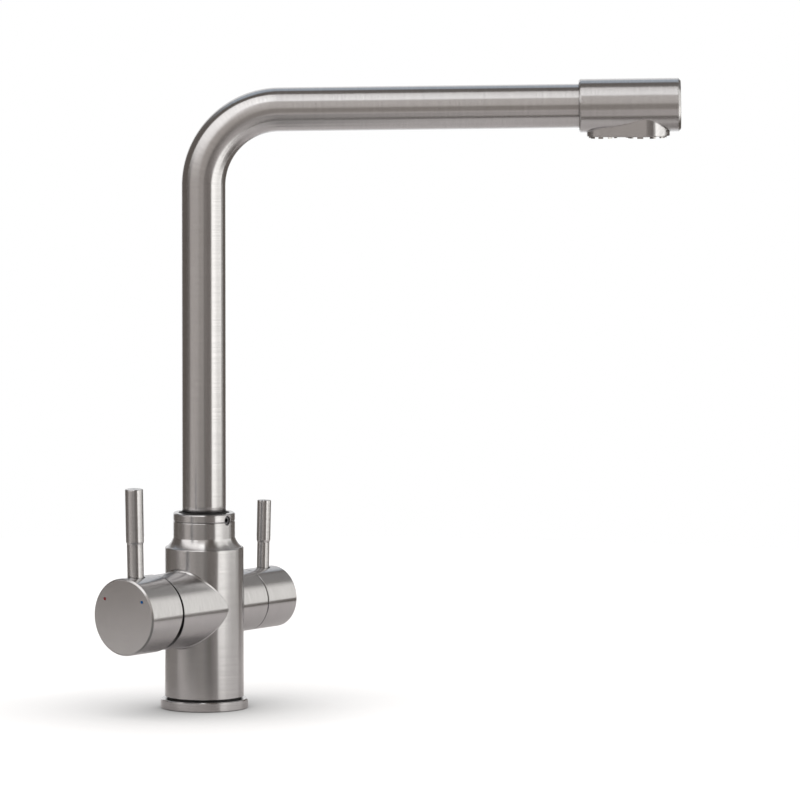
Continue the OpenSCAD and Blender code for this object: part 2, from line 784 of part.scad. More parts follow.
module filter_knob() color(colour_steel) filter_frame() difference() {
    union() {
        difference() {
            barrel(fknob_r, fknob_a0, fknob_a1, lever_edge / 2, fknob_edge);
            rod(fknob_r - fknob_wall, fknob_a0 - over, fknob_a1 - fknob_front);
        }
        rod(fhub_r, fhub_a0, fknob_a1 - fknob_front + over);
        intersection() {
            filter_lever_frame() rod(fcross_r, -fknob_r, fknob_r);
            rod(fknob_r - fknob_wall / 2, fhub_a0, fknob_a1);
        }
    }
    bar(spindle_side + fit, fhub_a0 - over, fhub_a0 + square_l + free);
    filter_lever_frame() {
        rod(flever_root_d / 2 + fit, fhub_r - lever_root_l / 2, fknob_r + over);
        rod(filter_shank_d / 2 + spot_extra, fknob_r - lever_sink, fknob_r + over);
        rod(flever_root_d / 2, -fknob_r - over, 0);
    }
}

module filter_lever() color(colour_steel) filter_frame() filter_lever_frame() {
    foot = fknob_r - lever_sink;
    step = foot + filter_shank_l;
    top = step + filter_grip_l;
    shank = filter_shank_d / 2;
    grip = filter_grip_d / 2;
    turned([
        [0, foot - lever_root_l], [flever_root_d / 2, foot - lever_root_l], [flever_root_d / 2, foot],
        [shank, foot], [shank, step], [grip - lever_edge / 2, step], [grip, step + lever_edge / 2],
        [grip, top - lever_edge], [grip - lever_edge, top], [0, top]
    ]);
}

module filter_knob_screw() color(colour_dark) filter_frame() filter_lever_frame()
    rotate([0, 180, 0]) translate([0, 0, fknob_r - screw_sink])
        set_screw(flever_root_d - fit - fit, fknob_r - screw_sink - spindle_side / 2 - fit,
                  small_key, screw_key_l, small_point_d);

// Spout

// The tube's centre line carried by a round section: upright, bend and arm
module along_spout(r, z0, s1) {
    spout_frame() {
        rod(r, z0, bend_z);
        translate([bend_r, 0, bend_z]) rotate([90, 0, 180])
            rotate_extrude(angle = bend_sweep) translate([bend_r, 0]) circle(r = r + seam_step);
    }
    arm_frame() rod(r, -seam_lap, s1);
}

module spout_tube() color(colour_steel) difference() {
    along_spout(tube_r, tube_z, tube_end_s);
    along_spout(tube_bore_r, tube_z - over, tube_end_s + over);
}

module filtered_hose() color(colour_white) difference() {
    along_spout(hose_d / 2, hose_start_z, core_s0 - fit);
    along_spout(hose_bore / 2, hose_start_z - over, core_s0 + over);
}

module ferrule(z0) ring(hose_d / 2 + fit + ferrule_wall, hose_d / 2 + fit, z0, z0 + ferrule_l);

module hose_ferrules() color(colour_grey) {
    spout_frame() ferrule(hose_start_z);
    arm_frame() ferrule(core_s0 - fit - ferrule_l);
}

module spout_spigot() color(colour_brass) spout_frame() difference() {
    union() {
        rod(nose_r, neck_floor_z - nose_l, foot_z + over);
        rod(foot_r, foot_z, foot_top_z);
        rod(tube_bore_r - fit, foot_z, tube_z + boss_in_tube_l);
        rod(barb_r, foot_z, barb_top_z);
    }
    bore(barb_bore_r, neck_floor_z - nose_l, barb_top_z);
    for (z = ring_zs) ring(foot_r + over, foot_r - ring_wire - ring_wire, z - ring_wire, z + ring_wire);
    ring(nose_r + over, nose_r - nose_wire - nose_wire, nose_ring_z - nose_wire, nose_ring_z + nose_wire);
    ring(foot_r + over, foot_r - lock_deep, screw_z - lock_w / 2, screw_z + lock_w / 2);
    for (i = [0:mixed_holes - 1])
        rotate([0, 0, i * 360 / mixed_holes]) translate([mixed_hole_at, 0, 0])
            bore(mixed_hole_d / 2, foot_z, tube_z + boss_in_tube_l);
}

module spigot_o_rings() color(colour_dark) spout_frame() {
    for (z = ring_zs) o_ring(foot_r - ring_wire, ring_wire - run, z);
    o_ring(nose_r - nose_wire, nose_wire - run, nose_ring_z);
}

// Outlet head, built along the arm: Z runs along the arm and X points down

module outlet_at(s) translate([0, 0, s]) rotate([0, 90, 0]) children();

module head_boss() hull() {
    outlet_at(mains_at) cylinder(r = mains_boss_d / 2, h = boss_drop, $fn = hull_fn);
    outlet_at(filtered_at) cylinder(r = filtered_boss_d / 2, h = boss_drop, $fn = hull_fn);
}

module spout_head() color(colour_steel) arm_frame() difference() {
    union() {
        barrel(head_r, arm_l, head_end_s, head_edge, head_nose);
        head_boss();
    }
    rod(tube_r + fit, arm_l - over, tube_end_s + fit);
    rod(head_bore_r, tube_end_s, head_end_s - head_end_wall);
    outlet_at(mains_at) rod(mains_r, mains_up, boss_drop + over);
    outlet_at(filtered_at) rod(filtered_r, filtered_up, boss_drop + over);
}

module head_core() color(colour_brass) arm_frame() difference() {
    union() {
        rod(core_r, core_s0, core_s1);
        rod(barb_r, core_barb_s, core_s1);
    }
    rod(barb_bore_r, core_barb_s - over, filtered_at);
    outlet_at(filtered_at) rod(barb_bore_r, 0, boss_drop);
    outlet_at(filtered_at) rod(filtered_r, filtered_up, boss_drop);
    outlet_at(mains_at) rod(mains_r, mains_up, boss_drop);
    outlet_at(mains_at) rod(mixed_hole_d / 2, -mixed_hole_at, boss_drop);
    translate([-mixed_hole_at, 0, 0]) rod(mixed_hole_d / 2, core_s0 - over, mains_at);
}

// A threaded aerator casing with a toothed rim, hanging from height 0 down to the boss's face
module aerator_shell(r, wall, up, teeth) {
    rim = boss_drop + tooth_h;
    top = up + aerator_washer_t;
    difference() {
        rod(r - fit, top, rim);
        rod(r - fit - wall, top + insert_lip, rim + over);
        rod(r - fit - wall - insert_lip, top - over, rim);
        for (i = [0:teeth - 1]) rotate([0, 0, (i + tooth_share) * 360 / teeth])
            translate([0, -tooth_share * (r * PI / teeth), boss_drop])
                cube([r + over, tooth_share * (r * PI / teeth + r * PI / teeth), tooth_h + over]);
    }
}

// A plate with holes on a triangular grid inside radius r
module sieve(r, z0, z1, pitch, hole) difference() {
    rod(r, z0, z1);
    reach = floor(r / pitch) + 1;
    for (i = [-reach:reach], j = [-reach:reach]) {
        place = [(i + j / 2) * pitch, j * pitch * sin(60)];
        if (norm(place) < r - hole)
            translate([place[0], place[1], z0 - over])
                cylinder(d = hole, h = z1 - z0 + over + over, $fn = hex_fn);
    }
}

module mains_aerator_shell() color(colour_grey) arm_frame() outlet_at(mains_at)
    aerator_shell(mains_r, aerator_wall, mains_up, mains_teeth);

module mains_aerator_insert() color(colour_dark) arm_frame() outlet_at(mains_at)
    sieve(mains_r - fit - aerator_wall - fit, boss_drop - insert_t, boss_drop, mesh_pitch, mesh_hole);

module mains_aerator_washer() color(colour_dark) arm_frame() outlet_at(mains_at)
    ring(mains_r - fit, mains_r - aerator_wall - aerator_wall, mains_up, mains_up + aerator_washer_t);

module filtered_aerator_shell() color(colour_grey) arm_frame() outlet_at(filtered_at)
    aerator_shell(filtered_r, filtered_aerator_wall, filtered_up, filtered_teeth);

module filtered_aerator_insert() color(colour_dark) arm_frame() outlet_at(filtered_at)
    sieve(filtered_r - fit - filtered_aerator_wall - fit, boss_drop - insert_t, boss_drop,
          jet_pitch, jet_hole);

module filtered_aerator_washer() color(colour_dark) arm_frame() outlet_at(filtered_at)
    ring(filtered_r - fit, filtered_r - aerator_wall - aerator_wall,
         filtered_up, filtered_up + aerator_washer_t);

valve_body();
base_ring();
base_gasket();
body_washer();
neck_grub_screw();
neck_wiper_ring();
spout_slide_ring();
mixer_cartridge_base();
mixer_cartridge_shell();
mixer_port_seals();
mixer_fixed_disc();
mixer_cartridge_nut();
mixer_dome();
filter_headwork();
filter_headwork_washer();
filter_seat_seal();
filter_fixed_disc();
spout_tube();
spout_spigot();
spigot_o_rings();
filtered_hose();
hose_ferrules();
spout_head();
head_core();
mains_aerator_shell();
mains_aerator_insert();
mains_aerator_washer();
filtered_aerator_shell();
filtered_aerator_insert();
filtered_aerator_washer();
mixer_stem_collar();
mixer_stem_pin();
mixer_moving_disc();
mixer_stem();
mixer_cap();
mixer_lever();
mixer_cap_screw();
hot_mark();
cold_mark();
filter_spindle();
filter_spindle_seal();
filter_moving_disc();
filter_knob();
filter_lever();
filter_knob_screw();
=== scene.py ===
"""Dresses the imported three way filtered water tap: steel, brass, seals, studio and camera, in metres."""

import json
import math

import bmesh
import bpy
import numpy as np
from bpy.props import FloatProperty, FloatVectorProperty, PointerProperty
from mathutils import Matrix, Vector

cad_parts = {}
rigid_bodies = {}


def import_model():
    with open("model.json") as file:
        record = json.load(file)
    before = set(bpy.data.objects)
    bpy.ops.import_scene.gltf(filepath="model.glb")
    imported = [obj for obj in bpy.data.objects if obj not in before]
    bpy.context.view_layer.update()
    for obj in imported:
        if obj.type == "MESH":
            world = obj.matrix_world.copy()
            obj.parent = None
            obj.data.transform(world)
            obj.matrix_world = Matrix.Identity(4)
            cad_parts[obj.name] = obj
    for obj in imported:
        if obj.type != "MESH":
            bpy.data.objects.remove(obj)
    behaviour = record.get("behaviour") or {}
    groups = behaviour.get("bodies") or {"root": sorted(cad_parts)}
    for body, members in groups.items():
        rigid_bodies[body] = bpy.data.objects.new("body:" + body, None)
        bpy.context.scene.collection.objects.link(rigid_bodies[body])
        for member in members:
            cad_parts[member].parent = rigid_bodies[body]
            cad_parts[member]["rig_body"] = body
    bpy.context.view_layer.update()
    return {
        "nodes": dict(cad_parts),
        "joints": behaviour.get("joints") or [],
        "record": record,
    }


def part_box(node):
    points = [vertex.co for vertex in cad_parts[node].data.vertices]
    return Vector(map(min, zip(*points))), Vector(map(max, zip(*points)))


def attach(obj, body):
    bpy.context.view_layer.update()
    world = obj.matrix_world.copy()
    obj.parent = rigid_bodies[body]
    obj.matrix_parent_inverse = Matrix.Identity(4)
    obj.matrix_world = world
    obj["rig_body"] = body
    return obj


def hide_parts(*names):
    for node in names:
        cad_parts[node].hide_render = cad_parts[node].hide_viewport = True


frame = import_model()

bl_info = {
    "name": "Three way filtered water tap",
    "version": (1, 0, 0),
    "blender": (4, 5, 0),
    "location": "View3D > Sidebar > Tap",
    "description": "Finishes the pieces of a kitchen tap and sets up a pale studio round it",
    "category": "Object",
}

MM = 0.001
X = np.array((1.0, 0.0, 0.0))
Y = np.array((0.0, 1.0, 0.0))
Z = np.array((0.0, 0.0, 1.0))
JOINTS = {joint["name"]: joint for joint in frame["joints"]}
SLOTS = {part["node"]: part["material_slot"] for part in frame["record"]["subparts"]}
KNOB_Z = JOINTS["filter_turn"]["pos_m"][2]
# Outer radius of the outlet head, and radius by which its edges look rounded
HEAD_R = 15.2 * MM
HEAD_EDGE = 1.3 * MM
# Radius by which the other sharp edges of the brushed steel look rounded
EDGE = 0.4 * MM
# How far a surface may lie outside the round of the body or the head before its brush lines turn with
# its branch
BODY_STEP, HEAD_STEP = 0.05 * MM, 0.1 * MM
# An edge of a profile from this length on gets points at these shares of it, which hold its shading flat
LONG_EDGE = 1.2 * MM
HOLDING = (0.03, 0.35, 0.65, 0.97)
# Points of a mesh that lie closer than this are one point
WELD = 0.0001 * MM


def linear(code):
    """Linear RGBA of an sRGB hex colour"""
    parts = [int(code[i:i + 2], 16) / 255 for i in (1, 3, 5)]
    return [c / 12.92 if c <= 0.04045 else ((c + 0.055) / 1.055) ** 2.4 for c in parts] + [1.0]


def size_prop(name, about, value):
    return FloatProperty(name=name, description=about, default=value, unit="LENGTH", precision=5)


def angle_prop(name, about, degrees):
    return FloatProperty(name=name, description=about, default=math.radians(degrees), unit="ROTATION")


def colour_prop(name, about, code):
    return FloatVectorProperty(name=name, description=about, default=linear(code), size=4,
                               subtype="COLOR", min=0, max=1)


def plain_prop(name, about, value):
    return FloatProperty(name=name, description=about, default=value, unit="NONE")


class TapSizes(bpy.types.PropertyGroup):
    """Sizes of the pieces that are drawn here"""
    tube_d: size_prop("Tube", "Outer diameter of the spout tube", 25 * MM)
    tube_wall: size_prop("Tube wall", "Wall of the spout tube", 1.2 * MM)
    bend_z: size_prop("Bend height", "Height at which the bend starts", 298.8 * MM)
    bend_r: size_prop("Bend radius", "Radius of the bend to the tube's centre line", 43.5 * MM)
    arm_l: size_prop("Arm", "Length of the straight arm, with its end inside the outlet head", 175.4 * MM)
    arm_rise: angle_prop("Arm rise", "Rise of the arm above level", 0.7)
    spout_turn: angle_prop("Spout turn", "Direction of the spout from +X, seen from above", -51)
    bead: size_prop("Weld bead", "Radius of the hollow bead where the branches meet the body", 1.2 * MM)
    rim: size_prop("Lever rim", "Radius of the rounded rims on the levers", 0.55 * MM)
    chamfer: size_prop("Grip chamfer", "Height of the chamfer under the levers' grips", 1.1 * MM)
    grain: size_prop("Brush lines", "Spacing of the brush lines, drawn coarse enough to show", 0.4 * MM)


class TapFinishes(bpy.types.PropertyGroup):
    """Colours of the finishes"""
    steel: colour_prop("Steel", "Brushed stainless steel", "#C4C3C4")
    steel_line: colour_prop("Steel in the lines", "Stainless steel deep in its brush lines", "#B9B8B9")
    brass: colour_prop("Brass", "Turned brass of the valves and the spigot", "#C9A45C")
    rubber: colour_prop("Rubber", "Black rubber of rings and washers", "#1B1B1C")
    black: colour_prop("Black plastic", "Black acetal of the mixer's dome", "#161618")
    white: colour_prop("White plastic", "White acetal of slide ring and collar", "#E4E2DA")
    grey: colour_prop("Grey plastic", "Grey nylon of the cartridge", "#8F9296")
    ceramic: colour_prop("Ceramic", "Lapped alumina discs", "#ECE8DC")
    red: colour_prop("Red", "Enamel of the hot dot", "#84222B")
    blue: colour_prop("Blue", "Enamel of the cold dot", "#0A5799")


class TapStudio(bpy.types.PropertyGroup):
    """Camera, floor and light"""
    azimuth: angle_prop("Azimuth", "Direction that the camera looks from; 0 looks along +Y", -50)
    elevation: angle_prop("Elevation", "Height of the camera above the horizon", 5.93)
    distance: size_prop("Distance", "Camera distance from the tap", 6.95)
    lens: plain_prop("Lens", "Focal length in millimetres on a 36 mm sensor", 549.1)
    centre_z: size_prop("Centre height", "Height on the upright axis that the distance counts from", 0.18)
    aim_right: size_prop("Aim right", "How far right of that point the camera aims", 0.1117)
    aim_down: size_prop("Aim down", "How far below that point the camera aims", 0.00386)
    light: plain_prop("Light", "Strength of the whole studio", 1.0)
    floor: colour_prop("Floor", "Pale floor", "#F0EEEE")
    floor_lift: plain_prop("Floor lift", "Light that the floor adds to what the camera sees", 0.76)
    floor_reach: size_prop("Floor reach", "Radius of the floor", 0.85)
    room: colour_prop("Room", "Dark room between the panels", "#766F69")
    # Reach and depth of the painted shadow that ambient occlusion lays on the floor under the tap
    shadow_reach: size_prop("Shadow reach", "Distance within which the tap darkens the floor", 0.11)
    shadow_depth: plain_prop("Shadow depth", "Power of the floor's darkening under the tap", 1.3)


# Grids and meshes

def unit(v):
    return np.asarray(v, float) / np.linalg.norm(v, axis=-1, keepdims=True)


def rounded(points, radii, steps=7):
    """A polyline whose corners are arcs: each arc is tangent to both edges, and its points turn from one
    tangent point to the other by equal angles about the arc's centre. Long edges get holding points."""
    points = np.asarray(points, float)
    line = [points[0]]
    for i in range(1, len(points) - 1):
        corner, radius = points[i], radii[i]
        if radius <= 0:
            line.append(corner)
            continue
        before, after = unit(points[i - 1] - corner), unit(points[i + 1] - corner)
        half = math.acos(np.clip(before @ after, -1, 1)) / 2
        centre = corner + unit(before + after) * radius / math.sin(half)
        start = corner + before * radius / math.tan(half) - centre
        end = corner + after * radius / math.tan(half) - centre
        sweep = math.pi - 2 * half
        share = np.linspace(0, 1, steps)[:, None]
        turn = (start * np.sin((1 - share) * sweep) + end * np.sin(share * sweep)) / math.sin(sweep)
        line.extend(centre + turn)
    line.append(points[-1])
    full = [line[0]]
    for a, b in zip(line[:-1], line[1:]):
        if np.linalg.norm(b - a) > LONG_EDGE:
            full.extend(a + (b - a) * share for share in HOLDING)
        full.append(b)
    return np.array(full)


def grid_piece(name, points, along, loop):
    """A mesh from a grid of points whose columns close round the piece, and whose rows close too if loop.
    U of its map is the distance along, in metres, with 1 mm for the row that closes a loop, and V runs
    from 0 to 1 round it. Faces turn outwards: their corners change order where the enclosed volume, the
    sum of a.(b x c)/6 over its triangles, comes out negative."""
    rows, cols = points.shape[:2]
    i = np.arange(rows if loop else rows - 1)[:, None]
    j = np.arange(cols)[None, :]
    i1, j1 = (i + 1) % rows, (j + 1) % cols
    quads = np.stack([i * cols + j, i * cols + j1, i1 * cols + j1, i1 * cols + j], -1).reshape(-1, 4)
    u = np.append(along, along[-1] + 1 * MM)
    corner_u = np.stack([u[i] + 0 * j, u[i] + 0 * j, u[i + 1] + 0 * j, u[i + 1] + 0 * j], -1)
    v = np.arange(cols + 1) / cols
    corner_v = np.stack([v[j] + 0 * i, v[j + 1] + 0 * i, v[j + 1] + 0 * i, v[j] + 0 * i], -1)
    uv = np.stack([corner_u, corner_v], -1).reshape(-1, 4, 2)
    flat = points.reshape(-1, 3)
    a, b, c, d = (flat[quads[:, k]] for k in range(4))
    volume = (np.cross(a, b) * c).sum() + (np.cross(a, c) * d).sum()
    if volume < 0:
        quads, uv = quads[:, ::-1], uv[:, ::-1]
    mesh = bpy.data.meshes.new(name)
    mesh.from_pydata(flat, [], quads)
    layer = mesh.uv_layers.new(name="along")
    layer.data.foreach_set("uv", uv.astype(np.float32).ravel())
    mesh.shade_smooth()
    work = bmesh.new()
    work.from_mesh(mesh)
    bmesh.ops.remove_doubles(work, verts=work.verts, dist=WELD)
    work.to_mesh(mesh)
    work.free()
    if mesh.validate():
        raise RuntimeError(f"{name} has faulty faces")
    obj = bpy.data.objects.new(name, mesh)
    bpy.context.scene.collection.objects.link(obj)
    return obj


def rings(centres, side, across, radii, sides):
    """Grid of circles: centre + radius * (cos t * side + sin t * across), with t once round"""
    t = np.linspace(0, 2 * math.pi, sides, endpoint=False)[None, :, None]
    spokes = np.cos(t) * side[:, None] + np.sin(t) * across[:, None]
    return centres[:, None] + radii[:, None, None] * spokes


def turned_piece(name, origin, axis, profile, sides=96):
    """A solid of revolution: each profile point (radius, height) is carried round the axis"""
    axis = unit(axis)
    side = unit(np.cross(axis, X if abs(axis[0]) < 0.5 else Y))
    count = len(profile)
    centres = np.asarray(origin, float) + profile[:, 1:] * axis
    steps = np.linalg.norm(np.diff(profile, axis=0), axis=1)
    grid = rings(centres, np.tile(side, (count, 1)), np.tile(np.cross(axis, side), (count, 1)),
                 profile[:, 0], sides)
    return grid_piece(name, grid, np.append(0, np.cumsum(steps)), loop=False)


def stands_for(obj, node):
    """Lets a new piece ride where its node rides, and hides the node"""
    body = frame["nodes"][node]["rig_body"]
    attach(obj, body)
    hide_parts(node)
    return obj


# Materials

# How far the brushing draws reflections out, and how squarely a face has to look along the turning axis
# before that fades away
DRAWN_OUT = 0.9
END_FACE = 0.9
# Turn from the direction round an axis to the one along it, as a share of a full turn
QUARTER = 0.25
# Values of the noise taken for the depth of a brush line and for its crest
LINE_LOW, LINE_HIGH = 0.25, 0.75
# Distance within which steel faces darken each other with painted shade, the open shares at which a join
# counts as shut and as open, and how dark the painted shade in a shut join gets
SEAM_SHADE_REACH = 1.8 * MM
SEAM_SHUT, SEAM_OPEN = 0.1, 0.75
SEAM_SHADE = 0.12
# Sizes of the slow drift along the brush lines and of the haze over them, and depth of the lines
DRIFT = 9 * MM
HAZE = 16 * MM
LINE_DEPTH = 0.003 * MM
# Roughness in the depth of the lines and on them, and what the haze adds to it
ROUGH_IN, ROUGH_ON, ROUGH_HAZE = 0.24, 0.21, 0.04
# Share by which the roughness of the other finishes wanders, and the values of their noise that bound it
WANDER = 0.15
NOISE_LOW, NOISE_HIGH = 0.3, 0.7


def add(tree, kind, settings=None, links=None):
    """Adds a node, with its settings, and with values or other nodes' outputs on its inputs"""
    node = tree.nodes.new("ShaderNode" + kind)
    for key, value in (settings or {}).items():
        setattr(node, key, value)
    for key, value in (links or {}).items():
        if isinstance(value, bpy.types.NodeSocket):
            tree.links.new(value, node.inputs[key])
        else:
            node.inputs[key].default_value = value
    return node


def blank(name):
    material = bpy.data.materials.new(name)
    material.use_nodes = True
    material.node_tree.nodes.clear()
    return material, material.node_tree


def dress(obj, material):
    obj.data.materials.clear()
    obj.data.materials.append(material)


def grain(tree, point, axis, aside=None, reach=0.0):
    """Turning marks about an axis through a point. Where a surface lies further than reach from the axis,
    as a branch does from the body, the marks run about the axis aside. Gives the direction round the
    axis, the distance across the marks, the place from the point, and how far reflections are drawn
    out, which is nothing on end faces."""
    place = add(tree, "VectorMath", {"operation": "SUBTRACT"},
                {0: add(tree, "TexCoord").outputs["Object"], 1: tuple(point)}).outputs[0]
    heading = tuple(axis)
    if aside is not None:
        round_main = add(tree, "VectorMath", {"operation": "CROSS_PRODUCT"}, {0: tuple(axis), 1: place})
        far = add(tree, "VectorMath", {"operation": "LENGTH"}, {0: round_main.outputs[0]}).outputs["Value"]
        beyond = add(tree, "Math", {"operation": "GREATER_THAN"}, {0: far, 1: reach}).outputs[0]
        change = add(tree, "VectorMath", {"operation": "SCALE"},
                     {0: tuple(np.subtract(aside, axis)), "Scale": beyond}).outputs[0]
        heading = add(tree, "VectorMath", {"operation": "ADD"}, {0: tuple(axis), 1: change}).outputs[0]
    about = add(tree, "VectorMath", {"operation": "CROSS_PRODUCT"}, {0: heading, 1: place}).outputs[0]
    height = add(tree, "VectorMath", {"operation": "DOT_PRODUCT"}, {0: heading, 1: place}).outputs["Value"]
    radius = add(tree, "VectorMath", {"operation": "LENGTH"}, {0: about}).outputs["Value"]
    across = add(tree, "Math", {"operation": "ADD"}, {0: height, 1: radius}).outputs[0]
    normal = add(tree, "TexCoord").outputs["Normal"]
    facing = add(tree, "VectorMath", {"operation": "DOT_PRODUCT"}, {0: heading, 1: normal}).outputs["Value"]
    endwise = add(tree, "Math", {"operation": "ABSOLUTE"}, {0: facing}).outputs[0]
    drawn_out = add(tree, "MapRange", None, {"Value": endwise, 1: END_FACE, 2: 1.0,
                                             3: DRAWN_OUT, 4: 0.0}).outputs[0]
    return about, across, place, drawn_out


def brushed_stainless(name, spacing, finishes, turning=None, edge=EDGE):
    """Stainless steel, satin brushed while it turns: fine lines run round the piece, so reflections keep
    their edges round it and are drawn out along it. Without a turning direction the lines run round
    the piece's own map. Sharp edges look rounded by the radius edge, and painted shade darkens the
    colour in tight joins, where other faces close them in."""
    material, tree = blank(name)
    settings = {"Metallic": 1.0, "Anisotropic": DRAWN_OUT}
    if turning is None:
        along = add(tree, "UVMap", {"uv_map": "along"}).outputs[0]
        across = add(tree, "SeparateXYZ", None, {0: along}).outputs[0]
        place = add(tree, "TexCoord").outputs["Object"]
        tangent = add(tree, "Tangent", {"direction_type": "UV_MAP", "uv_map": "along"}).outputs[0]
    else:
        about, across, place, drawn_out = turning(tree)
        tangent = add(tree, "VectorTransform", {"vector_type": "VECTOR", "convert_from": "OBJECT",
                                                "convert_to": "WORLD"}, {0: about}).outputs[0]
        settings["Anisotropic Rotation"] = QUARTER
        settings["Anisotropic"] = drawn_out
    lines = add(tree, "Math", {"operation": "MULTIPLY"}, {0: across, 1: 1 / spacing}).outputs[0]
    drift = add(tree, "VectorMath", {"operation": "SCALE"}, {0: place, "Scale": 1 / DRIFT}).outputs[0]
    shift = add(tree, "CombineXYZ", None, {0: lines}).outputs[0]
    ground = add(tree, "VectorMath", {"operation": "ADD"}, {0: drift, 1: shift}).outputs[0]
    brush = add(tree, "TexNoise", None, {"Vector": ground, "Scale": 1.0, "Detail": 3.0,
                                         "Roughness": 0.62}).outputs["Fac"]
    haze = add(tree, "TexNoise", None, {"Vector": place, "Scale": 1 / HAZE, "Detail": 2.0,
                                        "Roughness": 0.5}).outputs["Fac"]
    tone = add(tree, "MapRange", {"interpolation_type": "SMOOTHSTEP"},
               {"Value": brush, 1: LINE_LOW, 2: LINE_HIGH, 3: 0.0, 4: 1.0}).outputs[0]
    colour = add(tree, "Mix", {"data_type": "RGBA"}, {0: tone, 6: tuple(finishes.steel_line),
                                                      7: tuple(finishes.steel)}).outputs[2]
    # Painted shade: ambient occlusion darkens the steel's colour in tight joins between parts
    open_share = add(tree, "AmbientOcclusion", {"samples": 6}, {"Distance": SEAM_SHADE_REACH}).outputs["AO"]
    seam_shade = add(tree, "MapRange", None, {"Value": open_share, 1: SEAM_SHUT, 2: SEAM_OPEN,
                                        3: SEAM_SHADE, 4: 1.0}).outputs[0]
    colour = add(tree, "VectorMath", {"operation": "SCALE"}, {0: colour, "Scale": seam_shade}).outputs[0]
    base = add(tree, "MapRange", None, {"Value": brush, 1: LINE_LOW, 2: LINE_HIGH,
                                        3: ROUGH_IN, 4: ROUGH_ON}).outputs[0]
    rough = add(tree, "Math", {"operation": "MULTIPLY_ADD"}, {0: haze, 1: ROUGH_HAZE, 2: base}).outputs[0]
    soft = add(tree, "Bevel", {"samples": 4}, {"Radius": edge}).outputs[0]
    relief = add(tree, "Bump", None, {"Height": brush, "Distance": LINE_DEPTH, "Strength": 0.8,
                                      "Normal": soft}).outputs[0]
    shader = add(tree, "BsdfPrincipled", None, {**settings, "Base Color": colour, "Roughness": rough,
                                                "Normal": relief, "Tangent": tangent})
    add(tree, "OutputMaterial", None, {0: shader.outputs[0]})
    return material


def turned_steel(name, point, axis, aside=None, reach=0.0, edge=EDGE):
    """Brushed steel whose lines run round an axis"""
    sizes, finishes = bpy.context.scene.tap_sizes, bpy.context.scene.tap_finishes
    return brushed_stainless(name, sizes.grain, finishes,
                             lambda tree: grain(tree, point, axis, aside, reach), edge)


def mapped_steel(name):
    """Brushed steel whose lines run round the piece's own map"""
    return brushed_stainless(name, bpy.context.scene.tap_sizes.grain, bpy.context.scene.tap_finishes)


def small_part(name, colour, rough, pattern, depth, metallic=0.0, stretch=(1, 1, 1), spread=0.12,
               coat=0.0, painted_shade_reach=0.0):
    """Any other finish. A noise of the real size pattern, squeezed along each axis by stretch, moves its
    tone by about the share spread and its roughness by WANDER, and gives it a relief of the given
    depth. Where a reach for painted shade is given, painted shade darkens its colour as far as other
    surfaces close it in within that distance."""
    material, tree = blank(name)
    place = add(tree, "TexCoord").outputs["Object"]
    ground = add(tree, "Mapping", None, {0: place, 3: tuple(s / pattern for s in stretch)}).outputs[0]
    noise = add(tree, "TexNoise", None, {"Vector": ground, "Scale": 1.0, "Detail": 4.0}).outputs["Fac"]
    shade = tuple(c * (1 - 2 * spread) for c in colour[:3]) + (1.0,)
    tone = add(tree, "Mix", {"data_type": "RGBA"}, {0: noise, 6: shade, 7: tuple(colour)}).outputs[2]
    # Painted shade: ambient occlusion darkens the colour where other surfaces close the part in
    if painted_shade_reach:
        open_share = add(tree, "AmbientOcclusion", {"samples": 6}, {"Distance": painted_shade_reach}).outputs["AO"]
        tone = add(tree, "VectorMath", {"operation": "SCALE"}, {0: tone, "Scale": open_share}).outputs[0]
    satin = add(tree, "MapRange", None, {"Value": noise, 1: NOISE_LOW, 2: NOISE_HIGH,
                                         3: rough * (1 + WANDER), 4: rough * (1 - WANDER)}).outputs[0]
    relief = add(tree, "Bump", None, {"Height": noise, "Distance": depth, "Strength": 1.0}).outputs[0]
    shader = add(tree, "BsdfPrincipled", None, {"Base Color": tone, "Metallic": metallic,
                                                "Roughness": satin, "Coat Weight": coat,
                                                "Coat Roughness": 0.1, "Normal": relief})
    add(tree, "OutputMaterial", None, {0: shader.outputs[0]})
    return material


